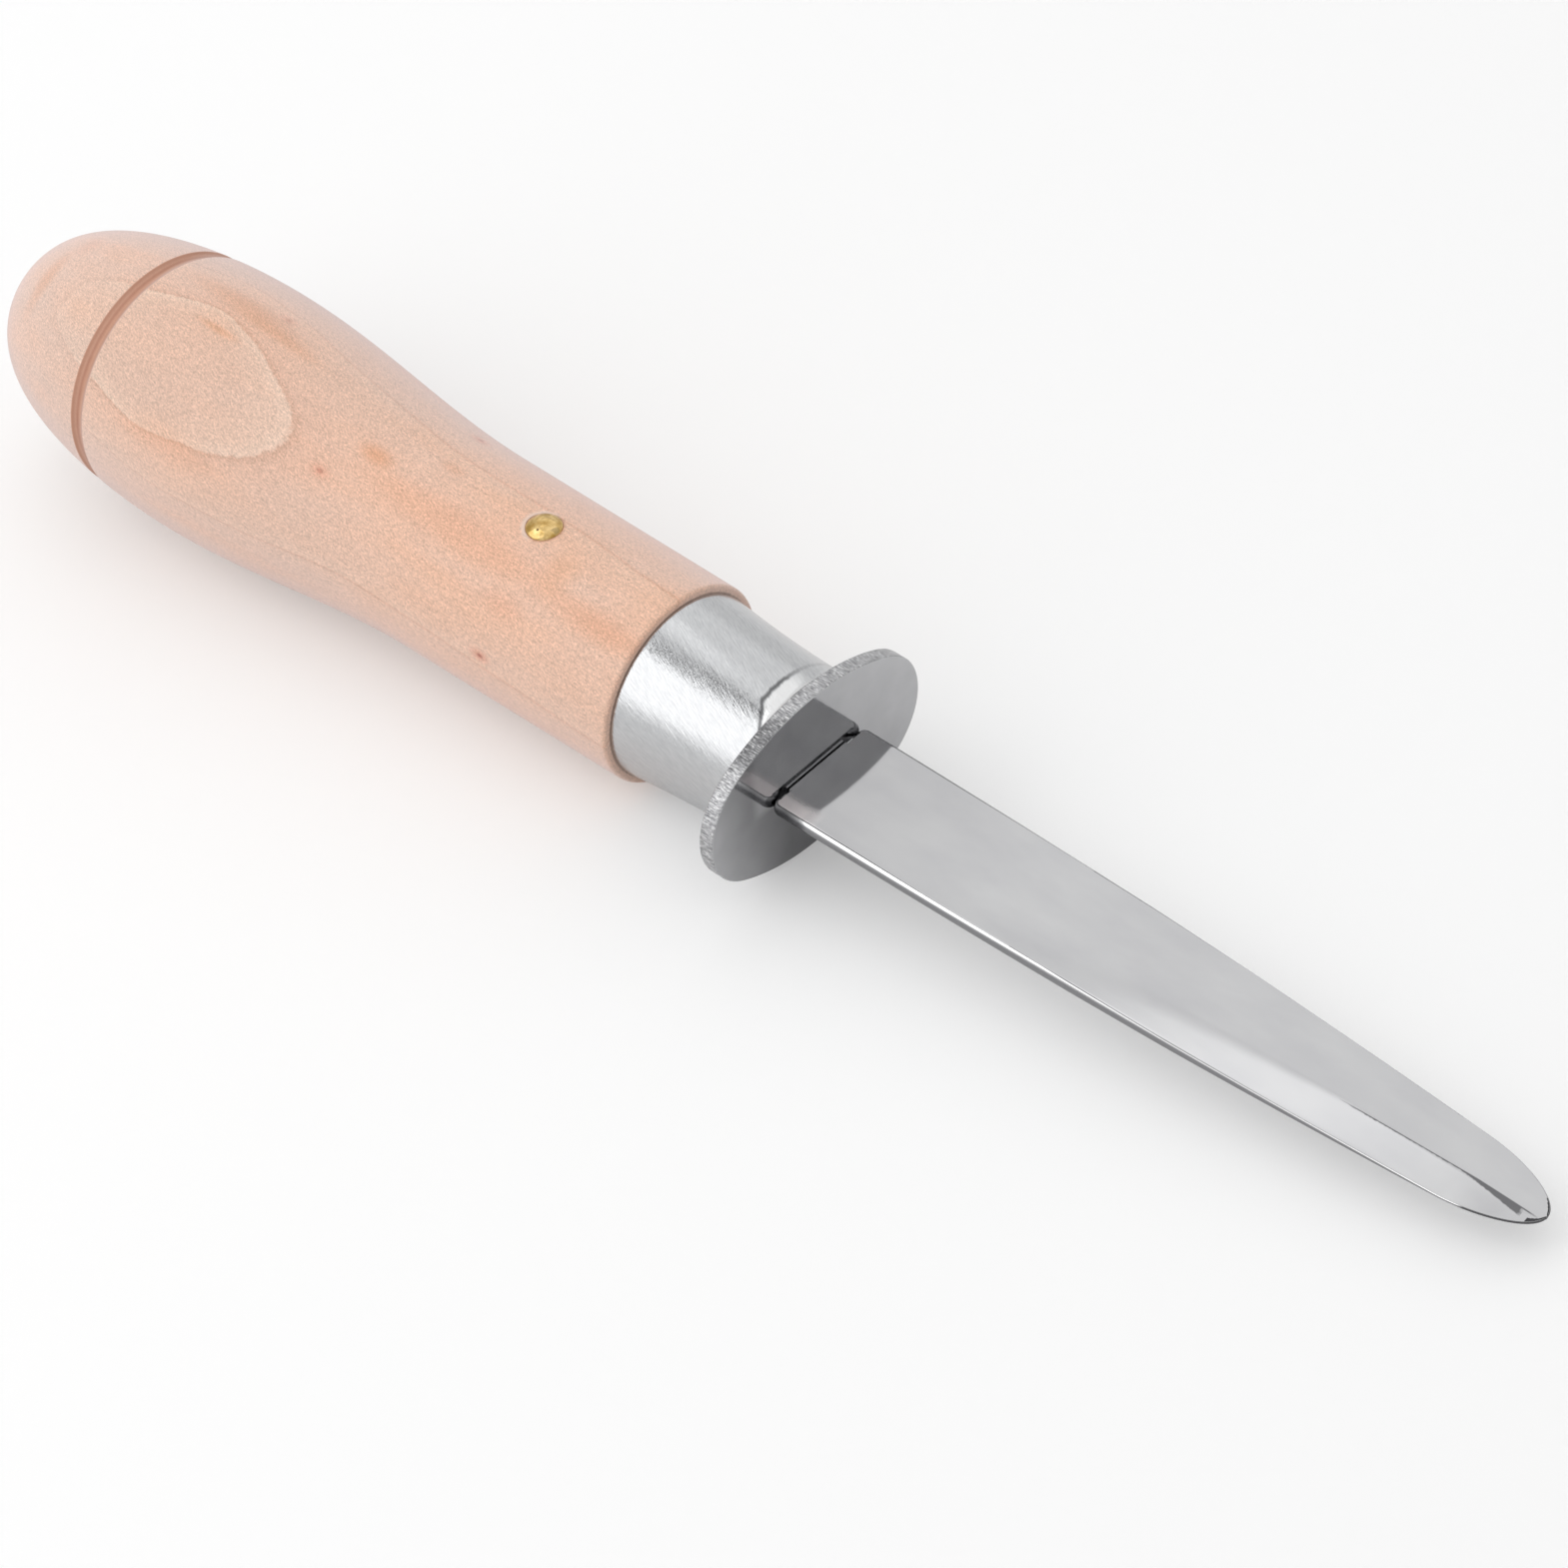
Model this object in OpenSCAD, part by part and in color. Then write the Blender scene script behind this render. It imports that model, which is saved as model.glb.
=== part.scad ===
// Oyster knife with a turned wooden handle, a steel ferrule, an oval steel guard,
// a blunt tapered blade with a flat tang, and one pin across handle and tang.
// The knife lies along X with its tip towards +X and the flat of its blade upwards.
// The origin is under the middle of its length, level with the belly of the handle.
// Inside the modules X is counted from the front face of the guard.

/* [Handle] */
// Length of the wooden handle, without the spigot inside the ferrule
handle_len = 91.5; // [85:0.5:120]
// Diameter of the swell near the butt
swell_d = 27.6; // [25:0.1:34]
// Distance of the swell from the butt end
swell_pos = 28; // [22:0.5:36]
// Diameter of the waist, where the fingers close
waist_d = 22; // [21.2:0.1:24]
// Distance of the waist from the butt end
waist_pos = 63.5; // [56:0.5:74]
// Diameter of the wood where it meets the ferrule
front_d = 21.5; // [20.8:0.1:24]
// Rounding of the wood's front edge
front_round = 0.6; // [0.3:0.1:1]
// Distance of the turned groove from the butt end
groove_pos = 19.5; // [15:0.1:30]
// Radius of the tool that cut the groove
groove_tool_r = 1.1; // [0.8:0.05:2]
// Depth of the groove
groove_depth = 0.5; // [0.2:0.05:0.75]

/* [Ferrule] */
// Length of the ferrule
ferrule_len = 16; // [12:0.5:24]
// Diameter of the ferrule at the wood
ferrule_back_d = 19.9; // [19:0.1:20.4]
// Diameter of the ferrule half way along
ferrule_mid_d = 18.5; // [17.8:0.1:19.4]
// Diameter of the ferrule just before its flare
ferrule_front_d = 18.1; // [16.8:0.1:18.2]
// Height of the flare against the guard
flare_r = 0.4; // [0.2:0.1:0.6]
// Length of the flare along the ferrule
flare_len = 1.5; // [0.4:0.1:3]
// Wall thickness of the ferrule
ferrule_wall = 0.8; // [0.5:0.1:1.5]

/* [Guard] */
// Width of the oval guard
guard_w = 29.3; // [26:0.1:36]
// Height of the oval guard
guard_h = 19; // [18.6:0.1:22]
// Radius of the guard's narrow ends
guard_end_r = 7.7; // [6:0.1:8.5]
// Thickness of the guard plate
guard_t = 1.65; // [1:0.05:3]

/* [Blade] */
// Length of the blade in front of the guard
blade_len = 85.5; // [72:0.5:110]
// Width of the blade at its root
blade_root_w = 13.4; // [11.5:0.1:16]
// Width that the sides would reach at the tip if it weren't rounded
blade_tip_w = 7.2; // [5:0.1:9]
// Length of the rounded tip
tip_len = 9.3; // [6:0.1:14]
// Thickness of the blade at its root
blade_t = 1.45; // [1.3:0.05:3]
// Thickness of the rim at the tip
tip_t = 0.3; // [0.2:0.05:0.6]
// Thickness of the mid line at the tip
ridge_tip_t = 0.7; // [0.65:0.05:1.2]
// Distance from the guard at which the sides start to thin
taper_start = 33; // [20:1:45]
// Distance from the guard at which the sides reach the thickness of the tip's rim
taper_end = 77; // [60:1:80]
// Width of the flat top at the root, between the two long bevels
flat_root_w = 12.2; // [9:0.1:12.4]
// Distance from the guard at which the bevels meet in a ridge
ridge_start = 78; // [60:1:80]
// Width of the narrow land that the bevels leave along the ridge
ridge_facet_w = 2; // [1:0.1:3]
// Depth of the round on the blade's two sides at the root
side_root_round = 0.55; // [0.2:0.05:0.7]
// Depth of the round on the blade's two sides towards the tip
side_front_round = 0.1; // [0.1:0.05:0.3]
// Distances from the guard between which the sides' round shrinks
side_start = 12; // [5:1:20]
side_end = 48; // [30:1:60]
// Corner radius of the shoulders at the guard
shoulder_r = 1; // [0.4:0.1:2]
// Depth of the broken edge that leaves a dark line at the guard
shoulder_break = 0.2; // [0.05:0.05:0.3]

/* [Tang] */
// Length of the tang behind the guard's front face
tang_len = 62; // [48:0.5:80]
// Width of the tang
tang_w = 8; // [6:0.1:9]
// Thickness of the tang
tang_t = 1; // [0.8:0.05:1.4]
// Thickness of the resin bed round the tang
bed_t = 0.7; // [0.3:0.1:1.5]
// Depth of the resin bed past the end of the tang
bed_end = 2; // [0.5:0.1:4]

/* [Pin] */
// Distance of the pin from the guard's front face
pin_pos = 34.8; // [26:0.1:44]
// Diameter of the pin's shank
pin_d = 3; // [2:0.1:3.4]
// Diameter of the pin's two heads
pin_head_d = 3.7; // [3.6:0.1:5.5]
// Height of the domed heads above the wood
pin_dome_h = 0.75; // [0.3:0.05:1]
// Depth to which the heads are let into the wood
pin_head_depth = 0.8; // [0.4:0.1:1.5]

/* [Fits] */
// Clearance between pieces that sit inside each other
fit_gap = 0.03; // [0.01:0.01:0.1]

/* [Hidden] */
wood_front_x = -guard_t - ferrule_len;
butt_x = wood_front_x - handle_len;
mid_x = (butt_x + blade_len) / 2;
pin_x = -pin_pos;
tip_x = blade_len - tip_len;
// Steps along curved profiles
dome_steps = 28;
neck_steps = 28;
round_steps = 6;
ferrule_steps = 14;
blade_steps = 30;
tip_steps = 9;
// Angle of the round tip that the steps cover, so that the last ring keeps a width
tip_turn = 85;
// Share of a bevelled side's thickness that is left at its shoulder
side_mid = 0.6;
// Share of the side's round that lies above that point
side_lift = 0.35;
// Overlap that joins the tang and the blade into one piece
root_in = 3;
// Power that makes the butt's dome blunt
dome_power = 1 / 3;
// Power that keeps the mid line thick until near the tip
thin_power = 2.5;
// Most of the half width that the side's round and the crease take
round_limit = 0.35;
crease_limit = 0.6;
// Half width that the ridge keeps where the bevels meet
ridge_y = 0.05;
// Share of the drop from the mid line to the side that falls within the narrow land
facet_drop = 0.2;
// Excess by which a cutter passes a face
cut = 1;

// Radius of the wood at a distance u from the butt end: a blunt dome up to the swell,
// a half cosine from the swell to the waist, and a slight taper from there forwards
function wood_r(u) =
    u <= 0 ? 0 :
    u < swell_pos ? swell_d / 2 * pow(1 - pow(1 - u / swell_pos, 2), dome_power) :
    u < waist_pos ? waist_d / 2 + (swell_d - waist_d) / 2
        * (1 + cos(180 * (u - swell_pos) / (waist_pos - swell_pos))) / 2 :
    waist_d / 2 + (front_d - waist_d) / 2 * (u - waist_pos) / (handle_len - waist_pos);
// Radius of the wood where the pin crosses it
pin_level = wood_r(pin_x - butt_x);

// Radius of the ferrule at a distance d in front of the wood, a parabola through its three
// diameters with a small concave flare at the guard
function ferrule_curve(s) =
    (ferrule_back_d * (1 - s) * (1 - 2 * s) + 4 * ferrule_mid_d * s * (1 - s)
    + ferrule_front_d * s * (2 * s - 1)) / 2;
function flare(d) =
    d >= flare_len ? 0 : flare_r * (1 - sqrt(1 - pow(1 - d / flare_len, 2)));
function ferrule_r(d) = ferrule_curve(d / ferrule_len) + flare(ferrule_len - d);
function bore_r(d) =
    ferrule_back_d / 2 - ferrule_wall
    + (ferrule_front_d - ferrule_back_d) / 2 * d / ferrule_len;

// Share of the way from one place to another that x has gone
function share(x, from, to) = min(1, max(0, (x - from) / (to - from)));
// Half width of the blade at x: sides that curve in slowly, then a round tip
function side_y(x) =
    (blade_root_w - (blade_root_w - blade_tip_w) * pow(x / blade_len, 2)) / 2;
function tip_share(x) = sqrt(1 - pow(share(x, tip_x, blade_len), 2));
function shoulder_in(x) =
    x >= shoulder_r ? 0 : shoulder_r - sqrt(shoulder_r * shoulder_r - pow(shoulder_r - x, 2));
function blade_y(x) = side_y(x) * tip_share(x) - shoulder_in(x);
function side_round(x) =
    side_root_round - (side_root_round - side_front_round) * share(x, side_start, side_end);
function side_in(x) = min(side_round(x), round_limit * blade_y(x));
// Half thickness of the sides and of the mid line at x
function edge_break(x) = shoulder_break * (1 - share(x, 0, shoulder_break));
function edge_z(x) =
    (blade_t - (blade_t - tip_t) * share(x, taper_start, taper_end)) / 2 - edge_break(x);
function mid_z(x) =
    (blade_t - (blade_t - ridge_tip_t) * pow(share(x, taper_start, blade_len), thin_power)) / 2
    - edge_break(x);
// Half width of the flat between the long bevels, which goes on as the narrow land
function facet_share(x) = share(x, ridge_start - tip_len, blade_len);
function flat_y(x) = max(flat_root_w / 2 * (1 - x / ridge_start),
    ridge_facet_w / 2 * tip_share(x) + ridge_y);
function crease_y(x) = min(flat_y(x), crease_limit * (blade_y(x) - side_in(x)));
function crease_z(x) =
    mid_z(x) - (mid_z(x) - edge_z(x)) * facet_drop * facet_share(x);

// One quarter of a cross-section, from the mid line out to the side
function quarter(x) = [
    [0, mid_z(x)],
    [crease_y(x), crease_z(x)],
    [blade_y(x) - side_in(x), edge_z(x)],
    [blade_y(x) - side_lift * side_in(x), side_mid * edge_z(x)],
    [blade_y(x), 0]];
// The whole ring: the quarter, mirrored downwards and then across
function ring(x) =
    let (q = quarter(x), n = len(q))
    concat(
        q,
        [for (i = [n - 2 : -1 : 0]) [q[i][0], -q[i][1]]],
        [for (i = [1 : n - 1]) [-q[i][0], -q[i][1]]],
        [for (i = [n - 2 : -1 : 1]) [-q[i][0], q[i][1]]]);
stations = concat(
    [for (i = [0 : 2]) shoulder_break * i / 2],
    [for (i = [1 : 4]) shoulder_break + (shoulder_r - shoulder_break) * i / 4],
    [for (i = [1 : blade_steps]) shoulder_r + (tip_x - shoulder_r) * i / blade_steps],
    [for (i = [1 : tip_steps]) tip_x + tip_len * sin(tip_turn * i / tip_steps)]);

module along_x() { rotate([0, 90, 0]) rotate_extrude($fn = 96) children(); }
module placed() { translate([-mid_x, 0, swell_d / 2]) children(); }

// A pin-shaped body across the knife, with straight heads from the given depth outwards
module cross_pin(extra, reach) {
    seat = pin_level - pin_head_depth;
    translate([pin_x, 0, -reach]) cylinder(r = pin_d / 2 + extra, h = 2 * reach, $fn = 48);
    for (side = [0, 1]) mirror([0, 0, side])
        translate([pin_x, 0, seat - extra])
            cylinder(r = pin_head_d / 2 + extra, h = reach - seat + extra, $fn = 48);
}

// Slot for the tang and its bed
module tang_slot(extra, length) {
    translate([-length - extra, -tang_w / 2 - extra, -tang_t / 2 - extra])
        cube([length + extra, tang_w + 2 * extra, tang_t + 2 * extra]);
}

// Turned wood with the spigot for the ferrule
module handle() {
    spigot = [for (d = [0, ferrule_len - fit_gap]) [bore_r(d) - fit_gap, wood_front_x + d]];
    dome = [for (i = [1 : dome_steps])
        let (u = swell_pos * (1 - cos(90 * i / dome_steps))) [wood_r(u), butt_x + u]];
    neck = [for (i = [1 : neck_steps])
        let (u = swell_pos + (waist_pos - swell_pos) * i / neck_steps) [wood_r(u), butt_x + u]];
    front = [for (i = [0 : round_steps])
        let (a = 90 * i / round_steps)
        [front_d / 2 - front_round * (1 - cos(a)),
         wood_front_x - front_round * (1 - sin(a))]];
    color("#dfbba8") placed() difference() {
        along_x() difference() {
            polygon(concat([[0, butt_x]], dome, neck, front, spigot,
                [[0, wood_front_x + ferrule_len - fit_gap]]));
            translate([wood_r(groove_pos) + groove_tool_r - groove_depth, butt_x + groove_pos])
                circle(r = groove_tool_r, $fn = 48);
        }
        tang_slot(bed_t, tang_len + bed_end - bed_t);
        cross_pin(fit_gap, swell_d);
    }
}

// Spun steel collar
module ferrule() {
    outer = [for (i = [0 : ferrule_steps])
        let (d = (ferrule_len - flare_len) * i / ferrule_steps)
        [ferrule_r(d), wood_front_x + d]];
    lip = [for (i = [1 : round_steps])
        let (d = ferrule_len - flare_len * cos(90 * i / round_steps))
        [ferrule_r(d), wood_front_x + d]];
    inner = [for (d = [ferrule_len, 0]) [bore_r(d), wood_front_x + d]];
    color("#c9ccd0") placed() along_x() polygon(concat(outer, lip, inner));
}

// Four-centre oval, as wide as the guard along the first axis
module guard_outline() {
    half_w = guard_w / 2;
    half_h = guard_h / 2;
    end_y = half_w - guard_end_r;
    drop = (end_y * end_y - pow(half_h - guard_end_r, 2)) / (2 * (half_h - guard_end_r));
    side_r = half_h + drop;
    meet_y = end_y * side_r / (side_r - guard_end_r);
    for (side = [-1, 1]) translate([0, side * end_y]) circle(r = guard_end_r, $fn = 96);
    intersection() {
        translate([drop, 0]) circle(r = side_r, $fn = 96);
        translate([-drop, 0]) circle(r = side_r, $fn = 96);
        translate([-half_h, -meet_y]) square([guard_h, 2 * meet_y]);
    }
}

// Stamped oval plate with the slot that the tang passes
module guard() {
    color("#c4c6ca") placed() difference() {
        translate([-guard_t, 0, 0]) rotate([0, 90, 0])
            linear_extrude(guard_t) guard_outline();
        translate([-guard_t - cut, -tang_w / 2 - fit_gap, -tang_t / 2 - fit_gap])
            cube([guard_t + 2 * cut, tang_w + 2 * fit_gap, tang_t + 2 * fit_gap]);
    }
}

// Skin through the rings at all stations, closed at both ends round a middle point
module blade_body() {
    n = len(ring(shoulder_r));
    last = len(stations) - 1;
    skin = [for (x = stations) for (p = ring(x)) [x, p[0], p[1]]];
    middles = [[stations[0], 0, 0], [stations[last], 0, 0]];
    sides = [for (s = [0 : last - 1]) for (i = [0 : n - 1])
        let (j = (i + 1) % n, a = s * n + i, b = s * n + j, c = a + n, d = b + n)
        each [[a, b, d], [a, d, c]]];
    ends = [for (i = [0 : n - 1]) let (j = (i + 1) % n)
        each [[len(skin), j, i], [len(skin) + 1, last * n + i, last * n + j]]];
    polyhedron(concat(skin, middles), concat(sides, ends));
}

// Blade and tang in one piece, with the hole for the pin
module blade() {
    color("#cfd0d3") placed() difference() {
        union() {
            blade_body();
            translate([-tang_len, -tang_w / 2, -tang_t / 2])
                cube([tang_len + root_in, tang_w, tang_t]);
        }
        translate([pin_x, 0, -tang_t])
            cylinder(r = pin_d / 2 + fit_gap, h = 2 * tang_t, $fn = 48);
    }
}

// Brass pin, its two heads rounded over above the wood
module pin() {
    head_r = pin_head_d / 2;
    dome_r = (head_r * head_r + pin_dome_h * pin_dome_h) / (2 * pin_dome_h);
    color("#b9973f") placed() translate([pin_x, 0, 0]) rotate_extrude($fn = 96)
        for (side = [0, 1]) mirror([0, side]) {
            square([pin_d / 2, pin_level]);
            intersection() {
                translate([0, pin_level + pin_dome_h - dome_r]) circle(r = dome_r, $fn = 96);
                translate([0, pin_level - pin_head_depth])
                    square([head_r, pin_head_depth + pin_dome_h + cut]);
            }
        }
}

// Resin that fills the slot in the handle round the tang
module tang_cement() {
    color("#8a7a5c") placed() difference() {
        translate([wood_front_x + ferrule_len, 0, 0])
            tang_slot(bed_t - fit_gap,
                tang_len + bed_end - bed_t + wood_front_x + ferrule_len);
        translate([cut, 0, 0]) tang_slot(fit_gap, tang_len + cut);
        cross_pin(fit_gap, swell_d);
    }
}

handle();
ferrule();
guard();
blade();
pin();
tang_cement();
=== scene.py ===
import math

import bmesh
import bpy
from mathutils import Euler, Matrix, Vector, noise


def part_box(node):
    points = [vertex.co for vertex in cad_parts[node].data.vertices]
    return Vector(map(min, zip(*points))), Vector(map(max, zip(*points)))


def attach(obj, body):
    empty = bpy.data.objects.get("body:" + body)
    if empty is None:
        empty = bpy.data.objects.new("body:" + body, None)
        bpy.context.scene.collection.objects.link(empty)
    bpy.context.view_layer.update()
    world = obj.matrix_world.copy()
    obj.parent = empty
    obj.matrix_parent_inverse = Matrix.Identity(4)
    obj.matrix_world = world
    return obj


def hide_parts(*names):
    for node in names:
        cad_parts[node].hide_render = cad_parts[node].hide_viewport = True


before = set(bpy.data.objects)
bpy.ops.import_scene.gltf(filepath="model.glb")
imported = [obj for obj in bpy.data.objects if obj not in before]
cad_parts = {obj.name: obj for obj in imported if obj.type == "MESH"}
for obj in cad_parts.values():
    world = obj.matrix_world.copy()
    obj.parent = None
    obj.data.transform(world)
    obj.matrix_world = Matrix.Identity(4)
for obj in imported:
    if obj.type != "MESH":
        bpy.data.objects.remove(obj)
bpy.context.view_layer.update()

# The handle is one stick of pale, close-grained hardwood, turned on a lathe, sanded across
# while it spins, and left raw. A round tool cut its groove. In front it goes on as a spigot
# inside the ferrule, with a slot for the tang, and a hole for the pin crosses it.
handle_low, handle_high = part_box("handle")
ferrule_low, ferrule_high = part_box("ferrule")
cement_low, cement_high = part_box("tang_cement")
pin_low, pin_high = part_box("pin")
axis_z = (handle_low.z + handle_high.z) / 2
butt_x = handle_low.x
handle_len = ferrule_low.x - butt_x
swell_r = (handle_high.z - handle_low.z) / 2
swell_pos = 0.028
waist_r = 0.011
waist_pos = 0.0635
front_r = 0.01075
front_round = 0.0004
groove_pos = 0.0195
groove_tool_r = 0.0011
groove_depth = 0.0005
ferrule_wall = 0.0008
ferrule_back_r = 0.00995
ferrule_front_r = 0.00905
fit_gap = 0.00003
pin_x = (pin_low.x + pin_high.x) / 2
pin_head_r = (pin_high.x - pin_low.x) / 2
pin_r = 0.0015
pin_dome_h = 0.00075
pin_head_depth = 0.0008
pin_level = pin_high.z - axis_z - pin_dome_h
turn_steps = 192
to_mm = 1000
weld = 1e-7


def wood_radius(u):
    """Radius of the wood at a distance u from the butt: blunt dome, half cosine, slight taper."""
    if u < swell_pos:
        return swell_r * (1 - (1 - u / swell_pos) ** 2) ** (1 / 3)
    if u < waist_pos:
        turn = math.pi * (u - swell_pos) / (waist_pos - swell_pos)
        return waist_r + (swell_r - waist_r) * (1 + math.cos(turn)) / 2
    return waist_r + (front_r - waist_r) * (u - waist_pos) / (handle_len - waist_pos)


def groove_radius(u):
    """Radius left by the tool that cuts the groove, or a large one beside it."""
    off = abs(u - groove_pos)
    if off >= groove_tool_r:
        return 1.0
    centre = wood_radius(groove_pos) + groove_tool_r - groove_depth
    return centre - math.sqrt(groove_tool_r ** 2 - off ** 2)


def turned(profile, centre, axis, steps, closed=False):
    """A mesh spun once round an axis from a row of points that starts and ends on it, or a ring."""
    bm = bmesh.new()
    row = [bm.verts.new(point) for point in profile]
    edges = [bm.edges.new(pair) for pair in zip(row, row[1:])]
    if closed:
        edges.append(bm.edges.new((row[-1], row[0])))
    bmesh.ops.spin(bm, geom=row + edges, cent=centre, axis=axis, dvec=(0, 0, 0),
                   angle=2 * math.pi, steps=steps, use_merge=True)
    bmesh.ops.remove_doubles(bm, verts=bm.verts, dist=weld)
    bmesh.ops.recalc_face_normals(bm, faces=bm.faces)
    return bm


def block(low, high):
    """A mesh of the block between two corners."""
    bm = bmesh.new()
    bmesh.ops.create_cube(bm, size=1)
    bmesh.ops.scale(bm, vec=high - low, verts=bm.verts)
    bmesh.ops.translate(bm, vec=(low + high) / 2, verts=bm.verts)
    return bm


def new_piece(name, bm):
    """The finished mesh as a smooth object in the scene."""
    mesh = bpy.data.meshes.new(name)
    for face in bm.faces:
        face.smooth = True
    bm.to_mesh(mesh)
    bm.free()
    piece = bpy.data.objects.new(name, mesh)
    bpy.context.scene.collection.objects.link(piece)
    return piece


def carve(piece, tool, operation):
    """Cuts the tool's solid out of the piece, or joins it on, and removes the tool."""
    step = piece.modifiers.new("carve", "BOOLEAN")
    step.operation = operation
    step.solver = "EXACT"
    step.object = tool
    shown = piece.evaluated_get(bpy.context.evaluated_depsgraph_get())
    mesh = bpy.data.meshes.new_from_object(shown)
    piece.modifiers.clear()
    piece.data = mesh
    bpy.data.objects.remove(tool)


groove_half = 0.001
groove_steps = 18
dome_steps = 48
body_steps = 110
round_steps = 8
dome = [swell_pos * (1 - math.cos(math.pi / 2 * i / dome_steps)) for i in range(dome_steps)]
body = [swell_pos + (handle_len - front_round - swell_pos) * i / body_steps
        for i in range(body_steps + 1)]
groove = [groove_pos + groove_half * i / groove_steps
          for i in range(-groove_steps, groove_steps + 1)]
places = [u for u in dome + body if abs(u - groove_pos) > groove_half] + groove
outline = [(u, min(wood_radius(u), groove_radius(u))) for u in sorted(places)]
for i in range(1, round_steps + 1):
    turn = math.pi / 2 * i / round_steps
    outline.append((handle_len - front_round * (1 - math.sin(turn)),
                    front_r - front_round * (1 - math.cos(turn))))
spigot_end = handle_high.x - butt_x
outline.append((handle_len, ferrule_back_r - ferrule_wall - fit_gap))
outline.append((spigot_end, ferrule_front_r - ferrule_wall - fit_gap))
outline.append((spigot_end, 0))
handle = new_piece("handle_wood", turned(
    [(butt_x + u, 0, axis_z + r) for u, r in outline], (0, 0, axis_z), (1, 0, 0), turn_steps))

slot_out = 0.001
slot_low = Vector((cement_low.x, cement_low.y, cement_low.z)) - Vector((1, 1, 1)) * fit_gap
slot_high = Vector((handle_high.x + slot_out, cement_high.y + fit_gap, cement_high.z + fit_gap))
carve(handle, new_piece("slot_tool", block(slot_low, slot_high)), "DIFFERENCE")


def cross_pin(extra, head_top, steps):
    """A mesh of the pin, or of its hole: the shank, a seat at each end, and the heads' tops."""
    seat = pin_level - pin_head_depth - extra
    upper = [(pin_r + extra, seat), (pin_head_r + extra, seat)] + head_top
    lower = [(r, -z) for r, z in reversed(upper)]
    return turned([(pin_x + r, 0, axis_z + z) for r, z in lower + upper], (pin_x, 0, axis_z),
                  (0, 0, 1), steps)


hole_steps = 64
hole_bm = cross_pin(fit_gap, [(pin_head_r + fit_gap, swell_r), (0, swell_r)], hole_steps)
carve(handle, new_piece("hole_tool", hole_bm), "DIFFERENCE")
handle.data.shade_smooth()
handle.data.set_sharp_from_angle(angle=math.radians(35))


def linear(hex_colour):
    """An sRGB hex colour as the linear values that the sockets hold."""
    parts = [int(hex_colour[i:i + 2], 16) / 255 for i in (1, 3, 5)]
    return [p / 12.92 if p <= 0.04045 else ((p + 0.055) / 1.055) ** 2.4 for p in parts] + [1]


def fill(node, inputs):
    """Sets a shader node's inputs, each to a value, another node or one output of a node."""
    for name, value in inputs.items():
        if isinstance(value, bpy.types.Node):
            value = value.outputs[0]
        if isinstance(value, bpy.types.NodeSocket):
            node.id_data.links.new(value, node.inputs[name])
        else:
            node.inputs[name].default_value = value


def add(tree, kind, inputs=None, ramp=None, **settings):
    """A shader node with its settings, its inputs and its ramp."""
    made = tree.nodes.new("ShaderNode" + kind)
    for name, value in settings.items():
        setattr(made, name, value)
    fill(made, inputs or {})
    if ramp:
        points = made.color_ramp.elements
        points[0].position, points[1].position = ramp[0][0], ramp[-1][0]
        for place, colour in ramp[1:-1]:
            points.new(place)
        for point, (place, colour) in zip(points, ramp):
            point.color = linear(colour)
    return made


def bare_finish(name):
    """A material without any node."""
    finish = bpy.data.materials.new(name)
    finish.use_nodes = True
    finish.node_tree.nodes.clear()
    return finish, finish.node_tree


def new_finish(name, place):
    """A material with a plain surface, and the piece's coordinates in mm from a place on it."""
    finish, tree = bare_finish(name)
    coords = add(tree, "TexCoord")
    spot = add(tree, "Mapping", {
        "Vector": coords.outputs["Object"], "Location": [-c * to_mm for c in place],
        "Scale": (to_mm, to_mm, to_mm)})
    surface = add(tree, "BsdfPrincipled")
    add(tree, "OutputMaterial", {"Surface": surface})
    return finish, tree, spot, surface


# Raw turned hardwood, sanded: dull and dry, pinkish tan, with slow growth rings, of which one
# breaks the surface as a pale oval on the swell, and with stains, pin knots and a short fuzz
# of raised fibres. These are about 0.1 mm thick and are drawn a little coarser to show.
wood, tree, spot, surface = new_finish("turned_raw_hardwood", (butt_x, 0, axis_z))
along = add(tree, "SeparateXYZ", {"Vector": spot})
u_mm = along.outputs["X"]
handle_mm = handle_len * to_mm

# The rings are nearly flat sheets that rise towards the front and turn slowly round the stick.
ring_turn = add(tree, "MapRange", {
    "Value": u_mm, "From Min": 30, "From Max": handle_mm, "To Min": math.radians(-30),
    "To Max": math.radians(-42)})
ring_spot = add(tree, "VectorRotate", {"Vector": spot, "Angle": ring_turn}, rotation_type="X_AXIS")
ring_height = add(tree, "SeparateXYZ", {"Vector": ring_spot})
sway_spot = add(tree, "Mapping", {"Vector": spot, "Scale": (1 / 16, 1 / 8, 1 / 8)})
sway = add(tree, "TexNoise", {"Vector": sway_spot, "Scale": 1, "Detail": 1})
sway_mm = add(tree, "MapRange", {"Value": sway, "To Min": -0.6, "To Max": 0.6})
fray = add(tree, "TexNoise", {"Vector": spot, "Scale": 1 / 0.5, "Detail": 1})
fray_mm = add(tree, "MapRange", {"Value": fray, "To Min": -0.12, "To Max": 0.12})
height = add(tree, "Math", {0: ring_height.outputs["Z"], 1: sway_mm}, operation="ADD")
height = add(tree, "Math", {0: height, 1: fray_mm}, operation="ADD")
ring_first = add(tree, "MapRange", {
    "Value": u_mm, "From Max": handle_mm, "To Min": 10.55, "To Max": 14.2}, clamp=False)
ring_gap = add(tree, "MapRange", {
    "Value": u_mm, "From Max": handle_mm, "To Min": 2.2, "To Max": 6.95}, clamp=False)
ring_butt = add(tree, "MapRange", {
    "Value": u_mm, "From Min": 20, "From Max": 31, "To Min": 1, "To Max": 0},
    interpolation_type="SMOOTHSTEP")
above = add(tree, "Math", {0: height, 1: ring_first}, operation="SUBTRACT")
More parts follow.
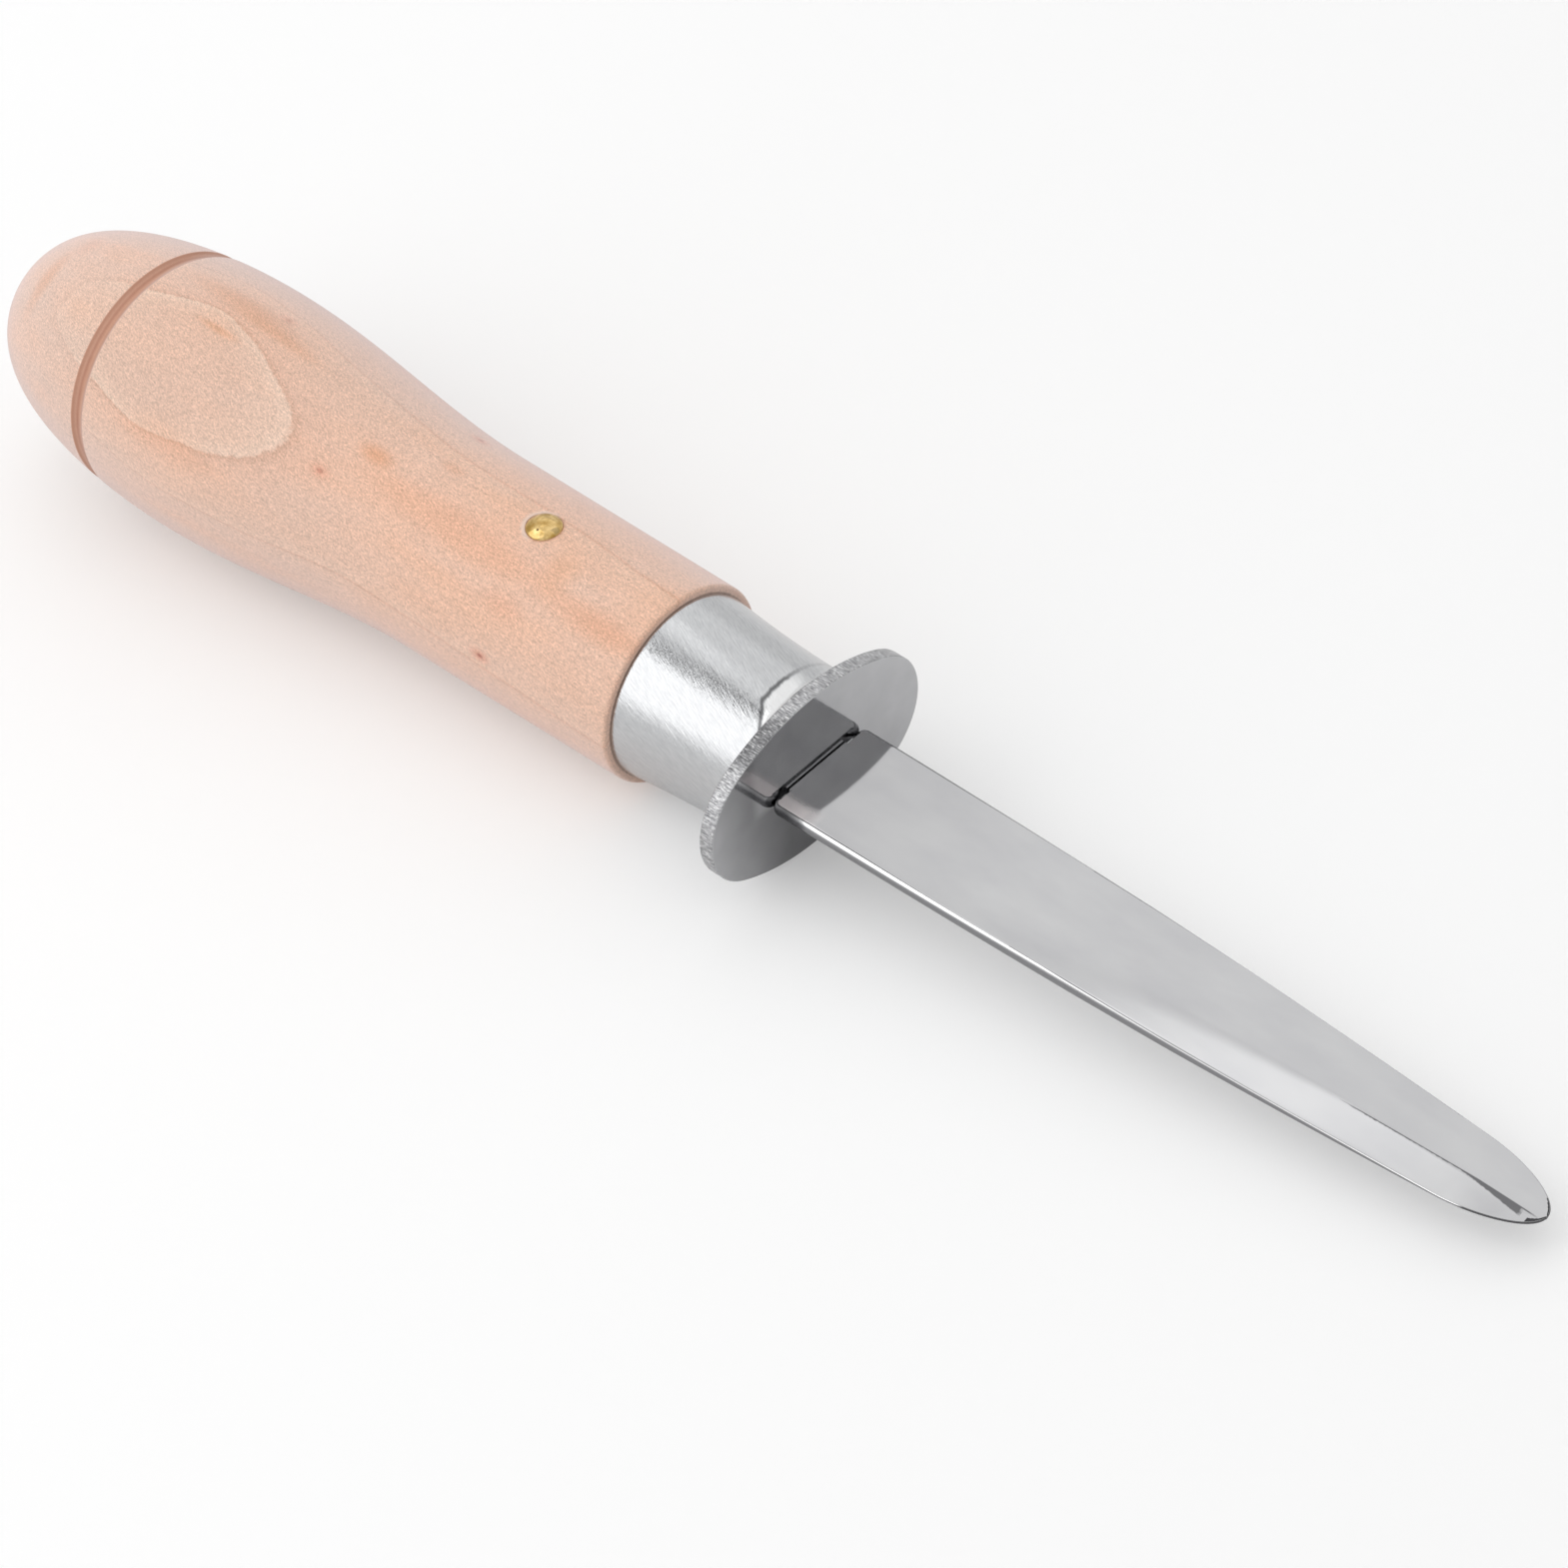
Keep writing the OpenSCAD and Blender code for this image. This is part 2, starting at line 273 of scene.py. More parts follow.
above = add(tree, "Math", {0: above, 1: ring_butt}, operation="SUBTRACT")
rings = add(tree, "Math", {0: above, 1: ring_gap}, operation="DIVIDE")
ring_share = add(tree, "MapRange", {"Value": rings, "From Min": -2, "From Max": 1})
ring_colour = add(tree, "ValToRGB", {"Fac": ring_share}, ramp=[
    (0.0, "#e3c2b0"), (0.32, "#e4c2af"), (0.329, "#cfa089"), (0.338, "#eac8b3"),
    (0.4, "#e8c2ac"), (0.58, "#e7bea7"), (0.645, "#e2b69e"), (0.661, "#cd9d83"),
    (0.669, "#eed2bd"), (0.70, "#e7c5af"), (0.76, "#e0baa4"), (1.0, "#e0b7a0")])

# Faint clouds along the grain, paler at the butt and more orange at the front, which show
# stronger at the butt, where the rings hardly show.
cloud_spot = add(tree, "Mapping", {
    "Vector": spot, "Scale": (1 / 20, 1 / 6, 1 / 6), "Location": (3.1, 0.4, 1.2)})
cloud = add(tree, "TexNoise", {"Vector": cloud_spot, "Scale": 1, "Detail": 2})
warmer = add(tree, "MapRange", {
    "Value": u_mm, "From Min": 5, "From Max": handle_mm, "To Min": -0.14, "To Max": 0.16})
cloud = add(tree, "Math", {0: cloud, 1: warmer}, operation="ADD")
cloud_colour = add(tree, "ValToRGB", {"Fac": cloud}, ramp=[
    (0.3, "#d9beaf"), (0.5, "#e1bfac"), (0.72, "#e7b99d")])
cloud_part = add(tree, "MapRange", {
    "Value": u_mm, "From Min": 15, "From Max": 21, "To Min": 0.88, "To Max": 0.48})
colour = add(tree, "MixRGB", {"Fac": cloud_part, "Color1": ring_colour, "Color2": cloud_colour})


def on_wood(u, angle):
    """A point of the surface in mm, from its distance to the butt and its angle from the top."""
    r = wood_radius(u / to_mm) * to_mm
    turn = math.radians(angle)
    return u, -r * math.sin(turn), r * math.cos(turn)


def distance(tree, spot, centre, stretch):
    """Distance in mm from a place on the piece, with each direction stretched by its factor."""
    place = [-c * s for c, s in zip(centre, stretch)]
    moved = add(tree, "Mapping", {"Vector": spot, "Scale": stretch, "Location": place})
    return add(tree, "VectorMath", {0: moved}, operation="LENGTH").outputs["Value"]


# Orange and brown stains that run with the grain: distance from the butt, angle from the top
# towards the near side, length, width, strength and colour.
stains = [(54.5, 16, 2.6, 1.2, 0.55, "#dd9c70"), (67, 26, 15, 2.6, 0.32, "#e3a27c"),
          (79.5, 18, 2.4, 2.8, 0.3, "#e0a274"), (87, 31, 8, 1.8, 0.42, "#e09c72"),
          (76, 48, 3, 1.6, 0.25, "#e5a17c"), (31, -10, 9, 1.7, 0.5, "#d69c76"),
          (37, -6, 7, 0.9, 0.3, "#cf9570"), (31, 8, 3.2, 0.6, 0.5, "#dca078"),
          (7.5, 27, 1.3, 4.6, 0.5, "#d79f7b"), (8.8, -3, 1.6, 2, 0.35, "#dba283"),
          (61.8, -1, 1.8, 0.8, 0.35, "#d39c7c"), (33, 62, 7, 2.2, 0.2, "#dfa07c")]
for u, angle, length, width, strength, stain_hex in stains:
    stain_far = distance(tree, spot, on_wood(u, angle), (1 / length, 1 / width, 1 / width))
    stain = add(tree, "MapRange", {
        "Value": stain_far, "From Min": 1.3, "From Max": 0.1, "To Max": strength},
        interpolation_type="SMOOTHSTEP")
    colour = add(tree, "MixRGB", {"Fac": stain, "Color1": colour, "Color2": linear(stain_hex)})

# Small pin knots, each dark in a pinkish ring: distance from the butt, angle, and darkness.
knots = [(50.3, 37.5, 0.45), (59.6, -33, 0.6), (74.9, 80, 0.75), (35, -17, 0.3),
         (24, 150, 0.7), (70, -150, 0.7)]
for u, angle, darkness in knots:
    knot_far = distance(tree, spot, on_wood(u, angle), (0.6, 1, 1))
    halo = add(tree, "MapRange", {
        "Value": knot_far, "From Min": 1.1, "From Max": 0.15, "To Max": 0.7 * darkness},
        interpolation_type="SMOOTHSTEP")
    colour = add(tree, "MixRGB", {"Fac": halo, "Color1": colour, "Color2": linear("#d99178")})
    heart = add(tree, "MapRange", {
        "Value": knot_far, "From Min": 0.34, "From Max": 0.1, "To Max": darkness})
    colour = add(tree, "MixRGB", {"Fac": heart, "Color1": colour, "Color2": linear("#a2584a")})


def combed(tree, spot, x_mm, lean, r_mm):
    """Coordinates twisted round the axis, so that marks along it lean on a surface at r_mm."""
    turn = -math.tan(math.radians(lean)) / r_mm
    twist = add(tree, "Math", {0: x_mm, 1: turn}, operation="MULTIPLY")
    return add(tree, "VectorRotate", {"Vector": spot, "Angle": twist}, rotation_type="X_AXIS")


# Fibres that sanding raised, combed round the stick at an angle to its axis, and open pores.
comb_spot = combed(tree, spot, u_mm, 16, 12)
fibre_spot = add(tree, "Mapping", {"Vector": comb_spot, "Scale": (1 / 0.4, 1 / 0.14, 1 / 0.14)})
fibre = add(tree, "TexNoise", {"Vector": fibre_spot, "Scale": 1, "Detail": 2, "Roughness": 0.7})
fuzz = add(tree, "TexNoise", {"Vector": spot, "Scale": 1 / 0.16, "Detail": 1})
pore_spot = add(tree, "Mapping", {"Vector": spot, "Scale": (1 / 6, 1 / 0.35, 1 / 0.35)})
pore = add(tree, "TexNoise", {"Vector": pore_spot, "Scale": 1, "Detail": 2})
tone = None
for texture, depth in ((fibre, 0.2), (fuzz, 0.12), (pore, 0.03)):
    part = add(tree, "MapRange", {
        "Value": texture, "From Min": 0.3, "From Max": 0.7, "To Min": 1 - depth,
        "To Max": 1 + depth})
    tone = part if tone is None else add(tree, "Math", {0: tone, 1: part}, operation="MULTIPLY")
colour = add(tree, "VectorMath", {0: colour, "Scale": tone}, operation="SCALE")

# The groove is burnished brown by its tool and darkest at its middle. The dark band at its front
# wall is painted shade, where that wall lies in shadow.
groove_off = add(tree, "Math", {0: u_mm, 1: -groove_pos * to_mm}, operation="ADD")
groove_far = add(tree, "Math", {0: groove_off}, operation="ABSOLUTE")
burnish_and_shade = add(tree, "MapRange", {
    "Value": groove_far, "From Min": 0.95, "From Max": 0.82, "To Max": 0.9})
groove_share = add(tree, "MapRange", {"Value": groove_off, "From Min": -1, "From Max": 1})
burnish_and_shade_colour = add(tree, "ValToRGB", {"Fac": groove_share}, ramp=[
    (0.0, "#dcae98"), (0.12, "#be8d76"), (0.25, "#c59680"), (0.36, "#b07c66"),
    (0.52, "#c2927b"), (0.72, "#ad7f68"), (0.84, "#bc9078"), (1.0, "#d9af98")])
colour = add(tree, "MixRGB", {"Fac": burnish_and_shade, "Color1": colour, "Color2": burnish_and_shade_colour})

# The end grain in front is darkened in a thin ring along the ferrule: painted shade of the gap at
# the joint.
radius = distance(tree, spot, (0, 0, 0), (0, 1, 1))
radius = add(tree, "Math", {0: radius, 1: fray_mm}, operation="ADD")
joint_r = ferrule_back_r * to_mm
joint = add(tree, "MapRange", {
    "Value": radius, "From Min": joint_r + 0.15, "From Max": joint_r + 0.02, "To Max": 0.7})
front = add(tree, "Math", {0: u_mm, 1: handle_mm - 0.5}, operation="GREATER_THAN")
joint = add(tree, "Math", {0: joint, 1: front}, operation="MULTIPLY")
colour = add(tree, "MixRGB", {"Fac": joint, "Color1": colour, "Color2": linear("#8f786b")})

# The pin's head pressed a brown ring into the wood, and its darkness there is partly painted shade
# round the head's edge. The head also raised pale fibres beside it.
pin_u = (pin_x - butt_x) * to_mm
pin_edge = pin_head_r * to_mm
pin_far = distance(tree, spot, (pin_u, 0, 0), (1, 1, 0))
pin_off = add(tree, "Math", {0: pin_far, 1: fray_mm}, operation="ADD")
pressed_ring_and_shade = add(tree, "MapRange", {
    "Value": pin_off, "From Min": pin_edge + 0.3, "From Max": pin_edge + 0.05, "To Max": 0.6})
colour = add(tree, "MixRGB", {"Fac": pressed_ring_and_shade, "Color1": colour, "Color2": linear("#b07b52")})
raised = add(tree, "MapRange", {
    "Value": pin_off, "From Min": pin_edge + 0.6, "From Max": pin_edge + 0.2, "To Max": 0.5})
raised_side = add(tree, "MapRange", {
    "Value": u_mm, "From Min": pin_u + 0.4, "From Max": pin_u - 0.6})
raised = add(tree, "Math", {0: raised, 1: raised_side}, operation="MULTIPLY")
colour = add(tree, "MixRGB", {"Fac": raised, "Color1": colour, "Color2": linear("#f2e4dc")})

# Painted sheen: the colour is whitened where the wood is seen edge on, more on its far side, for
# the light that its raised fibres catch there.
edge_on = add(tree, "LayerWeight", {"Blend": 0.5})
painted_sheen = add(tree, "MapRange", {
    "Value": edge_on.outputs["Facing"], "From Min": 0.33, "From Max": 0.78, "To Max": 0.42})
painted_sheen_part = add(tree, "MapRange", {
    "Value": along.outputs["Y"], "From Min": -9, "From Max": 2, "To Min": 0.65})
painted_sheen = add(tree, "Math", {0: painted_sheen, 1: painted_sheen_part}, operation="MULTIPLY")
colour = add(tree, "MixRGB", {"Fac": painted_sheen, "Color1": colour, "Color2": linear("#fae6e0")})
fibre_bump = add(tree, "Bump", {"Height": fibre, "Distance": 0.00005, "Strength": 0.6})
fill(surface, {"Base Color": colour, "Normal": fibre_bump, "Roughness": 0.75, "IOR": 1.5,
               "Specular IOR Level": 0.25, "Sheen Weight": 0.35, "Sheen Roughness": 0.35,
               "Sheen Tint": linear("#e8e8f8")})
handle.data.materials.clear()
handle.data.materials.append(wood)
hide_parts("handle")
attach(handle, "root")

# The ferrule is a steel tube spun to a slight trumpet over the spigot, with a small flare
# pressed against the guard. It was brushed along the knife at a slant and left unpolished.
ferrule_len = ferrule_high.x - ferrule_low.x
ferrule_mid_r = 0.00925
flare_r = 0.0004
flare_len = 0.0015
back_edge_r = 0.00015
edge_steps = 4
tube_steps = 40
flare_steps = 16


def ferrule_radius(d):
    """Outer radius at a distance d in front of the wood: a parabola and a concave flare."""
    s = d / ferrule_len
    curve = (ferrule_back_r * (1 - s) * (1 - 2 * s) + 4 * ferrule_mid_r * s * (1 - s)
             + ferrule_front_r * s * (2 * s - 1))
    left = ferrule_len - d
    if left >= flare_len:
        return curve
    return curve + flare_r * (1 - math.sqrt(1 - (1 - left / flare_len) ** 2))


outline = []
for i in range(edge_steps + 1):
    turn = math.pi / 2 * i / edge_steps
    outline.append((back_edge_r * (1 - math.sin(turn)),
                    ferrule_radius(0) - back_edge_r * (1 - math.cos(turn))))
outline.reverse()
places = [back_edge_r + (ferrule_len - flare_len - back_edge_r) * i / tube_steps
          for i in range(1, tube_steps + 1)]
places += [ferrule_len - flare_len * math.cos(math.pi / 2 * i / flare_steps)
           for i in range(1, flare_steps + 1)]
outline += [(d, ferrule_radius(d)) for d in places]
outline += [(ferrule_len, ferrule_front_r - ferrule_wall), (0, ferrule_back_r - ferrule_wall)]
ferrule = new_piece("ferrule_shell", turned(
    [(ferrule_low.x + d, 0, axis_z + r) for d, r in outline], (0, 0, axis_z), (1, 0, 0),
    turn_steps, closed=True))
ferrule.data.set_sharp_from_angle(angle=math.radians(50))

# Brushed bright steel: light grey, with a soft shine that slanting scratches break into
# streaks. The scratches are a few hundredths of a millimetre wide and are drawn coarser.
brushed, tree, spot, surface = new_finish("brushed_bright_steel", (ferrule_low.x, 0, axis_z))
along = add(tree, "SeparateXYZ", {"Vector": spot})
comb_spot = combed(tree, spot, along.outputs["X"], 24, 9.2)
streak_spot = add(tree, "Mapping", {"Vector": comb_spot, "Scale": (1 / 1.1, 1 / 0.13, 1 / 0.13)})
streak = add(tree, "TexNoise", {"Vector": streak_spot, "Scale": 1, "Detail": 3, "Roughness": 0.6})
wave_spot = add(tree, "Mapping", {"Vector": comb_spot, "Scale": (1 / 2.2, 1 / 0.6, 1 / 0.6)})
wave = add(tree, "TexNoise", {"Vector": wave_spot, "Scale": 1, "Detail": 2})
wave_bump = add(tree, "Bump", {"Height": wave, "Distance": 0.00007, "Strength": 0.35})
streak_bump = add(tree, "Bump", {
    "Height": streak, "Distance": 0.00004, "Strength": 0.5, "Normal": wave_bump})
tone = add(tree, "ValToRGB", {"Fac": streak}, ramp=[(0.3, "#bbbcbe"), (0.7, "#d0d1d2")])

# Round the flare's root runs a painted dark reflection, a wavy line that meets the guard on the
# near side, with a painted highlight as a smooth pale patch between them.
round_at = add(tree, "Math", {0: along.outputs["Y"], 1: along.outputs["Z"]}, operation="ARCTAN2")
painted_line_at = add(tree, "MapRange", {
    "Value": round_at, "From Min": -0.66, "From Max": -0.28, "To Min": 15.9, "To Max": 13.6})
painted_line_off = add(tree, "Math", {0: along.outputs["X"], 1: painted_line_at}, operation="SUBTRACT")
painted_line_off = add(tree, "Math", {0: wave, 1: 0.4, 2: painted_line_off}, operation="MULTIPLY_ADD")
painted_line_off = add(tree, "Math", {0: painted_line_off, 1: -0.2}, operation="ADD")
painted_line_far = add(tree, "Math", {0: painted_line_off}, operation="ABSOLUTE")
# crease is this painted dark reflection line, not a dent in the steel.
crease = add(tree, "MapRange", {"Value": painted_line_far, "From Min": 0.36, "From Max": 0.08})
painted_line_part = add(tree, "MapRange", {
    "Value": round_at, "From Min": 0.35, "From Max": 0.05, "To Min": 0.2, "To Max": 0.75})
crease = add(tree, "Math", {0: crease, 1: painted_line_part}, operation="MULTIPLY")
painted_highlight_patch = add(tree, "MapRange", {
    "Value": painted_line_off, "From Min": 0.2, "From Max": 0.5, "To Max": 0.7})
painted_highlight_part = add(tree, "MapRange", {"Value": round_at, "From Min": 0.3, "From Max": 0.05})
painted_highlight_patch = add(tree, "Math", {0: painted_highlight_patch, 1: painted_highlight_part}, operation="MULTIPLY")
tone = add(tree, "MixRGB", {"Fac": painted_highlight_patch, "Color1": tone, "Color2": linear("#f2f2f2")})
tone = add(tree, "MixRGB", {"Fac": crease, "Color1": tone, "Color2": linear("#2e2e30")})
fill(surface, {"Base Color": tone, "Normal": streak_bump, "Metallic": 1, "Roughness": 0.11})
ferrule.data.materials.append(brushed)
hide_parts("ferrule")
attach(ferrule, "root")

# The guard is an oval blanked from steel sheet in a press, which leaves smooth polished faces
# and a torn, streaky rim with a rolled edge, and it is pierced for the tang.
guard_low, guard_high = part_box("guard")
guard_half_w = (guard_high.y - guard_low.y) / 2
guard_half_h = (guard_high.z - guard_low.z) / 2
guard_t = guard_high.x - guard_low.x
guard_end_r = 0.0077
guard_edge = 0.00014
rim_zone = 0.001
end_steps = 40
side_steps = 64
tang_half_w = 0.004
tang_half_t = 0.0005
end_y = guard_half_w - guard_end_r
end_z = guard_half_h - guard_end_r
drop = (end_y ** 2 - end_z ** 2) / (2 * end_z)
end_turn = math.atan2(drop, end_y)
bm = bmesh.new()
tip = bm.verts.new((guard_low.x, end_y + guard_end_r * math.cos(end_turn),
                    axis_z - guard_end_r * math.sin(end_turn)))
arcs = [(end_y, 0, 2 * end_turn, end_steps), (0, -drop, math.pi - 2 * end_turn, side_steps),
        (-end_y, 0, 2 * end_turn, end_steps), (0, drop, math.pi - 2 * end_turn, side_steps)]
for y, z, turn, steps in arcs:
    made = bmesh.ops.spin(bm, geom=[tip], cent=(guard_low.x, y, axis_z + z), axis=(1, 0, 0),
                          dvec=(0, 0, 0), angle=turn, steps=steps)
    tip = [v for v in made["geom_last"] if isinstance(v, bmesh.types.BMVert)][0]
bmesh.ops.remove_doubles(bm, verts=bm.verts, dist=weld)
slot_y = tang_half_w + fit_gap
slot_z = tang_half_t + fit_gap
corners = [bm.verts.new((guard_low.x, y, axis_z + z)) for y, z in (
    (-slot_y, -slot_z), (slot_y, -slot_z), (slot_y, slot_z), (-slot_y, slot_z))]
for pair in zip(corners, corners[1:] + corners[:1]):
    bm.edges.new(pair)
bmesh.ops.triangle_fill(bm, use_beauty=True, edges=bm.edges, normal=(-1, 0, 0))
front = bmesh.ops.extrude_face_region(bm, geom=bm.faces)
bmesh.ops.translate(bm, vec=(guard_t, 0, 0),
                    verts=[v for v in front["geom"] if isinstance(v, bmesh.types.BMVert)])
bmesh.ops.recalc_face_normals(bm, faces=bm.faces)
bm.normal_update()
corner_edges = [e for e in bm.edges if e.calc_face_angle(0) > math.radians(60)
                and abs(e.verts[0].co.x - e.verts[1].co.x) < weld
                and abs(e.verts[0].co.y) + abs(e.verts[0].co.z - axis_z)
                > guard_half_h - rim_zone]
bmesh.ops.bevel(bm, geom=corner_edges, offset=guard_edge, segments=3, profile=0.5,
                affect="EDGES", material=-1)
for face in bm.faces:
    face.material_index = 0 if abs(face.normal.x) > 0.9 else 1
guard = new_piece("guard_plate", bm)
for face in guard.data.polygons:
    face.use_smooth = abs(face.normal.x) < 0.999

# Polished steel face: almost a mirror, faintly clouded by handling and a fine final lap. It is
# painted darker at its near side and under the blade: painted shade for the shadowed board that it
# mirrors there.
polished, tree, spot, surface = new_finish("polished_steel_face", (guard_low.x, 0, axis_z))
cloud = add(tree, "TexNoise", {"Vector": spot, "Scale": 1 / 4, "Detail": 3})
scratch_spot = add(tree, "Mapping", {
    "Vector": spot, "Scale": (1, 1 / 0.15, 1 / 3), "Rotation": (0.5, 0, 0)})
scratch = add(tree, "TexNoise", {"Vector": scratch_spot, "Scale": 1, "Detail": 2})
rough = add(tree, "MapRange", {
    "Value": cloud, "From Min": 0.3, "From Max": 0.7, "To Min": 0.06, "To Max": 0.12})
tone = add(tree, "ValToRGB", {"Fac": cloud}, ramp=[(0.3, "#b9b9bb"), (0.7, "#c3c3c5")])
place = add(tree, "SeparateXYZ", {"Vector": spot})
y_mm = place.outputs["Y"]
z_mm = place.outputs["Z"]
# Painted shade: the face darkens under the blade and towards its near side.
below = add(tree, "MapRange", {"Value": z_mm, "From Min": 0.5, "From Max": -0.5})
near = add(tree, "MapRange", {"Value": y_mm, "From Min": 3, "From Max": -1})
under = add(tree, "Math", {0: below, 1: near}, operation="MULTIPLY")
under_in = add(tree, "MapRange", {"Value": y_mm, "From Min": -14, "From Max": -4, "To Max": 0.52})
over_in = add(tree, "MapRange", {"Value": y_mm, "From Min": -13.5, "From Max": -9.5, "To Max": 0.3})
over_end = add(tree, "MapRange", {"Value": y_mm, "From Min": -8, "From Max": -9})
over = add(tree, "Math", {0: over_in, 1: over_end}, operation="MULTIPLY")
painted_shade = add(tree, "MapRange", {"Value": under, "To Min": over, "To Max": under_in})
tone = add(tree, "MixRGB", {"Fac": painted_shade, "Color1": tone, "Color2": linear("#101012")})
face_bump = add(tree, "Bump", {"Height": scratch, "Distance": 0.000004, "Strength": 0.4})
fill(surface, {"Base Color": tone, "Normal": face_bump, "Metallic": 1, "Roughness": rough})
guard.data.materials.append(polished)

# Sheared steel rim: torn across its thickness into short ridges and pits that glitter, and darker
# in its pits on its upper near side.
sheared, tree, spot, surface = new_finish("sheared_steel_rim", (guard_low.x, 0, axis_z))
tear_spot = add(tree, "Mapping", {"Vector": spot, "Scale": (1 / 0.6, 1 / 0.13, 1 / 0.13)})
tear = add(tree, "TexNoise", {"Vector": tear_spot, "Scale": 1, "Detail": 3, "Roughness": 0.7})
tone = add(tree, "ValToRGB", {"Fac": tear}, ramp=[
    (0.33, "#757577"), (0.45, "#a3a3a5"), (0.55, "#c0c0c2"), (0.68, "#f4f4f4")])
place = add(tree, "SeparateXYZ", {"Vector": spot})
turn_at = add(tree, "Math", {0: place.outputs["Z"], 1: place.outputs["Y"]}, operation="ARCTAN2")
dark_side_from = add(tree, "MapRange", {"Value": turn_at, "From Min": 1.85, "From Max": 2.1})
dark_side_to = add(tree, "MapRange", {"Value": turn_at, "From Min": 2.55, "From Max": 2.4})
dark_side = add(tree, "Math", {0: dark_side_from, 1: dark_side_to}, operation="MULTIPLY")
dark_side_share = add(tree, "MapRange", {
    "Value": tear, "From Min": 0.66, "From Max": 0.5, "To Min": 0.2, "To Max": 0.6})
dark_side = add(tree, "Math", {0: dark_side, 1: dark_side_share}, operation="MULTIPLY")
tone = add(tree, "MixRGB", {"Fac": dark_side, "Color1": tone, "Color2": linear("#343436")})
tear_bump = add(tree, "Bump", {"Height": tear, "Distance": 0.00012, "Strength": 0.8})
fill(surface, {"Base Color": tone, "Normal": tear_bump, "Metallic": 1, "Roughness": 0.28})
guard.data.materials.append(sheared)
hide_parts("guard")
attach(guard, "root")

# The blade is one stainless blank with its tang: thick and flat at the root, ground to two
# long soft bevels that meet towards the round, blunt tip, with rounded sides. It is polished
# on a fine wheel, and no edge of it is sharp.
guard_x = guard_high.x
blade_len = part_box("blade")[1].x - guard_x
root_half_w = 0.0067
tip_half_w = 0.0036
tip_len = 0.0093
root_half_t = 0.000725
rim_half_t = 0.00015
ridge_half_t = 0.00035
taper_start = 0.033
taper_end = 0.077
ridge_power = 2.5
early_drop = 0.00004
early_start = 0.008
early_end = 0.025
flat_half_w = 0.0061
ridge_start = 0.078
ridge_half_w = 0.00105
ridge_limit = 0.6
side_root_round = 0.00055
side_front_round = 0.0001
side_start = 0.012
side_end = 0.048
side_limit = 0.35
soft_root = 0.0016
soft_tip = 0.0002
soft_far = 0.002
soft_start = 0.03
soft_end = 0.07
soft_limit = 0.8
tiny = 1e-9
shoulder_r = 0.001
shoulder_break = 0.0002
tang_len = 0.062
pin_hole_r = pin_r + fit_gap
tip_x = blade_len - tip_len


def share(x, start, end):
    """How far x has gone from start to end, between 0 and 1."""
    return min(1, max(0, (x - start) / (end - start)))


def side_y(x):
    """Half width of the blade: sides that curve in slowly, then a round tip."""
    side = root_half_w - (root_half_w - tip_half_w) * (x / blade_len) ** 2
    side *= math.sqrt(1 - share(x, tip_x, blade_len) ** 2)
    if x < shoulder_r:
        side -= shoulder_r - math.sqrt(shoulder_r ** 2 - (shoulder_r - x) ** 2)
    return side


def rim_point(x):
    """Point of the blade's outline at x, and the direction that points out of it there."""
    step = 1e-6
    low = max(0, x - step)
    high = min(blade_len, x + step)
    out = Vector((side_y(low) - side_y(high), high - low))
    return Vector((x, side_y(x))), out.normalized()


def heights(x):
    """Half thickness at the side and at the mid line."""
    edge_break = shoulder_break * (1 - share(x, 0, shoulder_break))
    side = root_half_t - max(early_drop * share(x, early_start, early_end),
                             (root_half_t - rim_half_t) * share(x, taper_start, taper_end))
    ridge_share = share(x, taper_start, blade_len) ** ridge_power
    middle = root_half_t - (root_half_t - ridge_half_t) * ridge_share
    middle = side + (middle - side) * math.sqrt(1 - share(x, tip_x, blade_len) ** 2)
    return side - edge_break, middle - edge_break


flat_cols = 7
soft_cols = 8
bevel_cols = 9
side_cols = 8
half_cols = flat_cols + soft_cols + bevel_cols + side_cols


def across(x, signed_col):
    """A point on the blade's upper half, from its x and its column: 0 at the middle, and
    positive on the far side, where the crease of the bevel is softer."""
    col = abs(signed_col)
    far_extra = soft_far * int(signed_col > 0)
    outer, out = rim_point(x)
    round_share = share(x, side_start, side_end)
    side_round = side_root_round - (side_root_round - side_front_round) * round_share
    inset = min(side_round, side_limit * max(outer.y, blade_len - x + tiny))
    inner = outer - out * inset
    edge_z, mid_z = heights(inner.x)
    if col > half_cols - side_cols:
        turn = math.pi / 2 * (half_cols - col) / side_cols
        reach = inner + out * inset * math.cos(turn)
        return Vector((reach.x, reach.y, edge_z * math.sin(turn)))
    crease = max(flat_half_w * (1 - inner.x / ridge_start), ridge_half_w)
    crease = min(crease, ridge_limit * inner.y)
    soft = soft_root * (1 - share(x, soft_start, soft_end)) + soft_tip + far_extra
    soft = min(soft, soft_limit * crease, soft_limit * (inner.y - crease))
    slope = (mid_z - edge_z) / max(inner.y - crease, tiny)
    if col <= flat_cols:
        y = (crease - soft) * col / flat_cols
    elif col <= flat_cols + soft_cols:
        y = crease - soft + 2 * soft * (col - flat_cols) / soft_cols
    else:
        y = crease + soft + (inner.y - crease - soft) * (
            col - flat_cols - soft_cols) / bevel_cols
    if y < crease - soft or soft < tiny:
        z = mid_z
    elif y < crease + soft:
        z = mid_z - slope * (y - crease + soft) ** 2 / (4 * soft)
    else:
        z = mid_z - slope * (y - crease)
    return Vector((inner.x, y, z))


